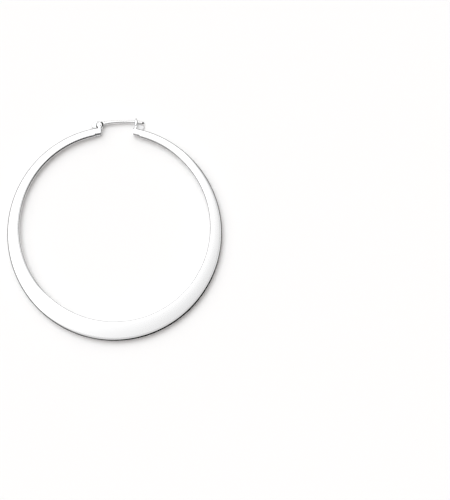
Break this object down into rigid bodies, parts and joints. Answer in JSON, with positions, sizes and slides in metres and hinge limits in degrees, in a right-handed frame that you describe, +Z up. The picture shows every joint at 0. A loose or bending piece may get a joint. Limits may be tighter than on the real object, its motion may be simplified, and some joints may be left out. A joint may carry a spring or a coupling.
{
  "type": "hoop earring",
  "caption": "Flat round hoop earring, narrow at the open clasp end and wide at the bottom, closed by a hinged, arched ear wire that drops into a pronged catch.",
  "frame": {"origin": "on the surface that the earring lies on, under the middle of its bounding box", "axes": "+X from the hinge's side to the catch's side, +Y from the wide bottom of the hoop to its clasp, +Z up, out of the front face"},
  "size_m": [0.06, 0.0622, 0.0023],
  "materials": {
    "polished_silver": "mirror-polished, silver-coloured plating with faint polishing lines",
    "wire_silver": "polished, silver-coloured round wire",
    "rivet_silver": "polished, silver-coloured rivet with a low domed head"
  },
  "bodies": {
    "hoop": {"hoop": "polished_silver", "hinge_pin": "rivet_silver"},
    "ear_wire": {"ear_wire": "wire_silver"}
  },
  "joints": [
    {"name": "ear_wire_hinge", "type": "hinge", "parent": "hoop", "child": "ear_wire", "pos_m": [-0.00435, 0.02924, 0.001], "axis": [0, 0, 1], "range_deg": [0, 90]}
  ]
}
